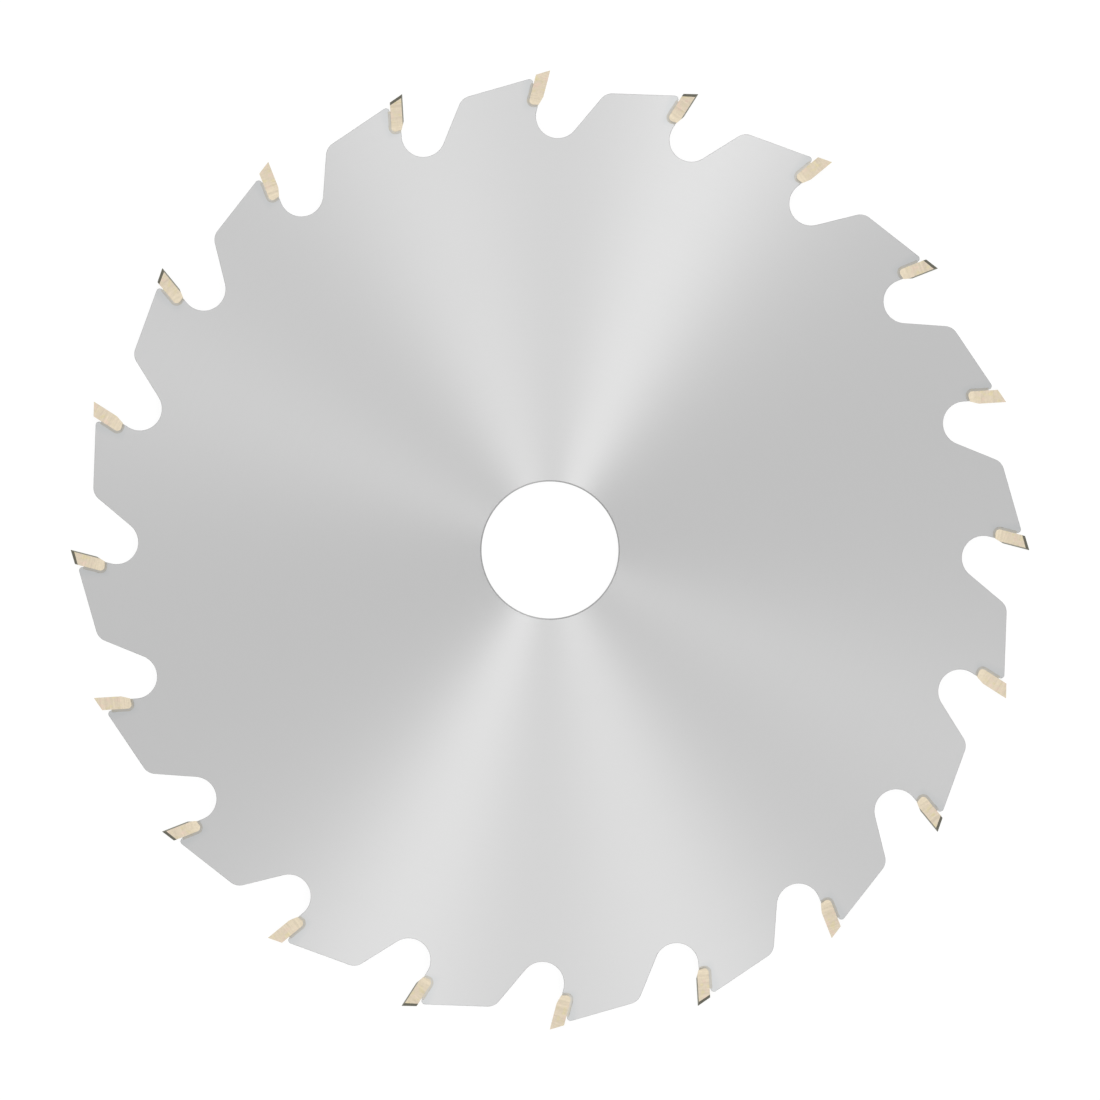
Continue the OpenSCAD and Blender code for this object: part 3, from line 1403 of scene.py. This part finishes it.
@dataclass(frozen=True)
class Softbox:
    """A studio light at some distance from the blade, turned towards it, with its power in watts."""

    name: str
    azimuth: float
    elevation: float
    power: float
    width: float
    height: float = 1.0
    distance: float = 4.0

    def place(self) -> None:
        """Puts the light into the scene."""
        lamp = bpy.data.lights.new(self.name, "AREA")
        lamp.shape = "RECTANGLE"
        lamp.size, lamp.size_y = self.width, self.height
        lamp.energy = self.power
        turn, rise = math.radians(self.azimuth), math.radians(self.elevation)
        aside = math.cos(rise)
        away = Vector((aside * math.cos(turn), aside * math.sin(turn), math.sin(rise)))
        light = bpy.data.objects.new(self.name, lamp)
        light.location = self.distance * away
        light.rotation_mode = "QUATERNION"
        light.rotation_quaternion = (-away).to_track_quat("-Z", "Y")
        bpy.context.scene.collection.objects.link(light)


@dataclass
class Studio:
    """Floor, sky, lights and camera.

    Sizes are in metres, apart from the blade's radius and the camera's sensor, which are in millimetres.
    The sky brightens from the horizon to the zenith over a span of the sine of the elevation.
    """

    floor_level: float
    floor_size: float = 8.0
    zenith: float = 1.0
    horizon: float = 0.6
    sky_rise: Span = (0.0, 0.8)
    frame_pixels: float = 1100.0
    blade_radius_pixels: float = 479.5
    blade_radius: float = ToothForm.cut_radius
    roll: float = 0.035
    camera_height: float = 4.0
    nearest: float = 0.1
    farthest: float = 20.0
    sensor: float = 36.0
    lights: tuple[Softbox, ...] = (
        Softbox("right_softbox", 68.4, 30.0, 43.0, 1.05),
        Softbox("left_softbox", 287.8, 30.0, 38.0, 1.45),
        Softbox("side_softbox", 154.8, 30.0, 15.0, 0.95),
    )

    def lay_floor(self) -> None:
        """Lays a plain floor under the blade."""
        half = self.floor_size / 2.0
        corners = [(-half, -half), (half, -half), (half, half), (-half, half)]
        mesh = bpy.data.meshes.new("studio_floor")
        mesh.from_pydata([(x, y, self.floor_level) for x, y in corners], [], [(0, 1, 2, 3)])
        floor = bpy.data.objects.new("studio_floor", mesh)
        floor.data.materials.append(PaleFloor().material())
        bpy.context.scene.collection.objects.link(floor)

    def light(self) -> None:
        """Sets a sky that is brightest overhead, and the softboxes."""
        sky = bpy.data.worlds.new("studio_sky")
        sky.use_nodes = True
        graph = NodeGraph(sky.node_tree)
        upward = graph.parts(graph.node("ShaderNodeTexCoord").outputs["Generated"])[2]
        strength = self.horizon + (self.zenith - self.horizon) * graph.slope(upward, *self.sky_rise)
        shown = graph.node("ShaderNodeBackground", None, {"Color": WHITE, "Strength": strength})
        graph.node("ShaderNodeOutputWorld", None, {"Surface": shown.outputs[0]})
        bpy.context.scene.world = sky
        for softbox in self.lights:
            softbox.place()

    def aim_camera(self) -> None:
        """Looks straight down on the blade from afar, through a long lens, framed as in the photograph."""
        pixel = self.blade_radius / self.blade_radius_pixels * MM
        lens = bpy.data.cameras.new("view_from_above")
        lens.sensor_width = self.sensor
        lens.lens = self.sensor * self.camera_height / (self.frame_pixels * pixel)
        lens.clip_start, lens.clip_end = self.nearest, self.farthest
        camera = bpy.data.objects.new("view_from_above", lens)
        camera.location = (0.0, 0.0, self.camera_height)
        camera.rotation_euler = (0.0, 0.0, math.radians(self.roll))
        bpy.context.scene.collection.objects.link(camera)
        bpy.context.scene.camera = camera
        bpy.context.scene.view_settings.view_transform = "Standard"
        bpy.context.scene.view_settings.look = "None"

    def make(self) -> None:
        """Sets up everything round the blade."""
        self.lay_floor()
        self.light()
        self.aim_camera()


def main() -> None:
    """Builds the plate, the tips and their seams, and sets up the studio."""
    logging.basicConfig(level=logging.INFO, format="%(message)s")
    tooth = ToothForm()
    for assembly in (SawPlate(tooth), CarbideTips(tooth), BrazeSeams(tooth)):
        assembly.make()
    Studio(floor_level=cad_box[0].z).make()


if __name__ == "__main__":
    main()
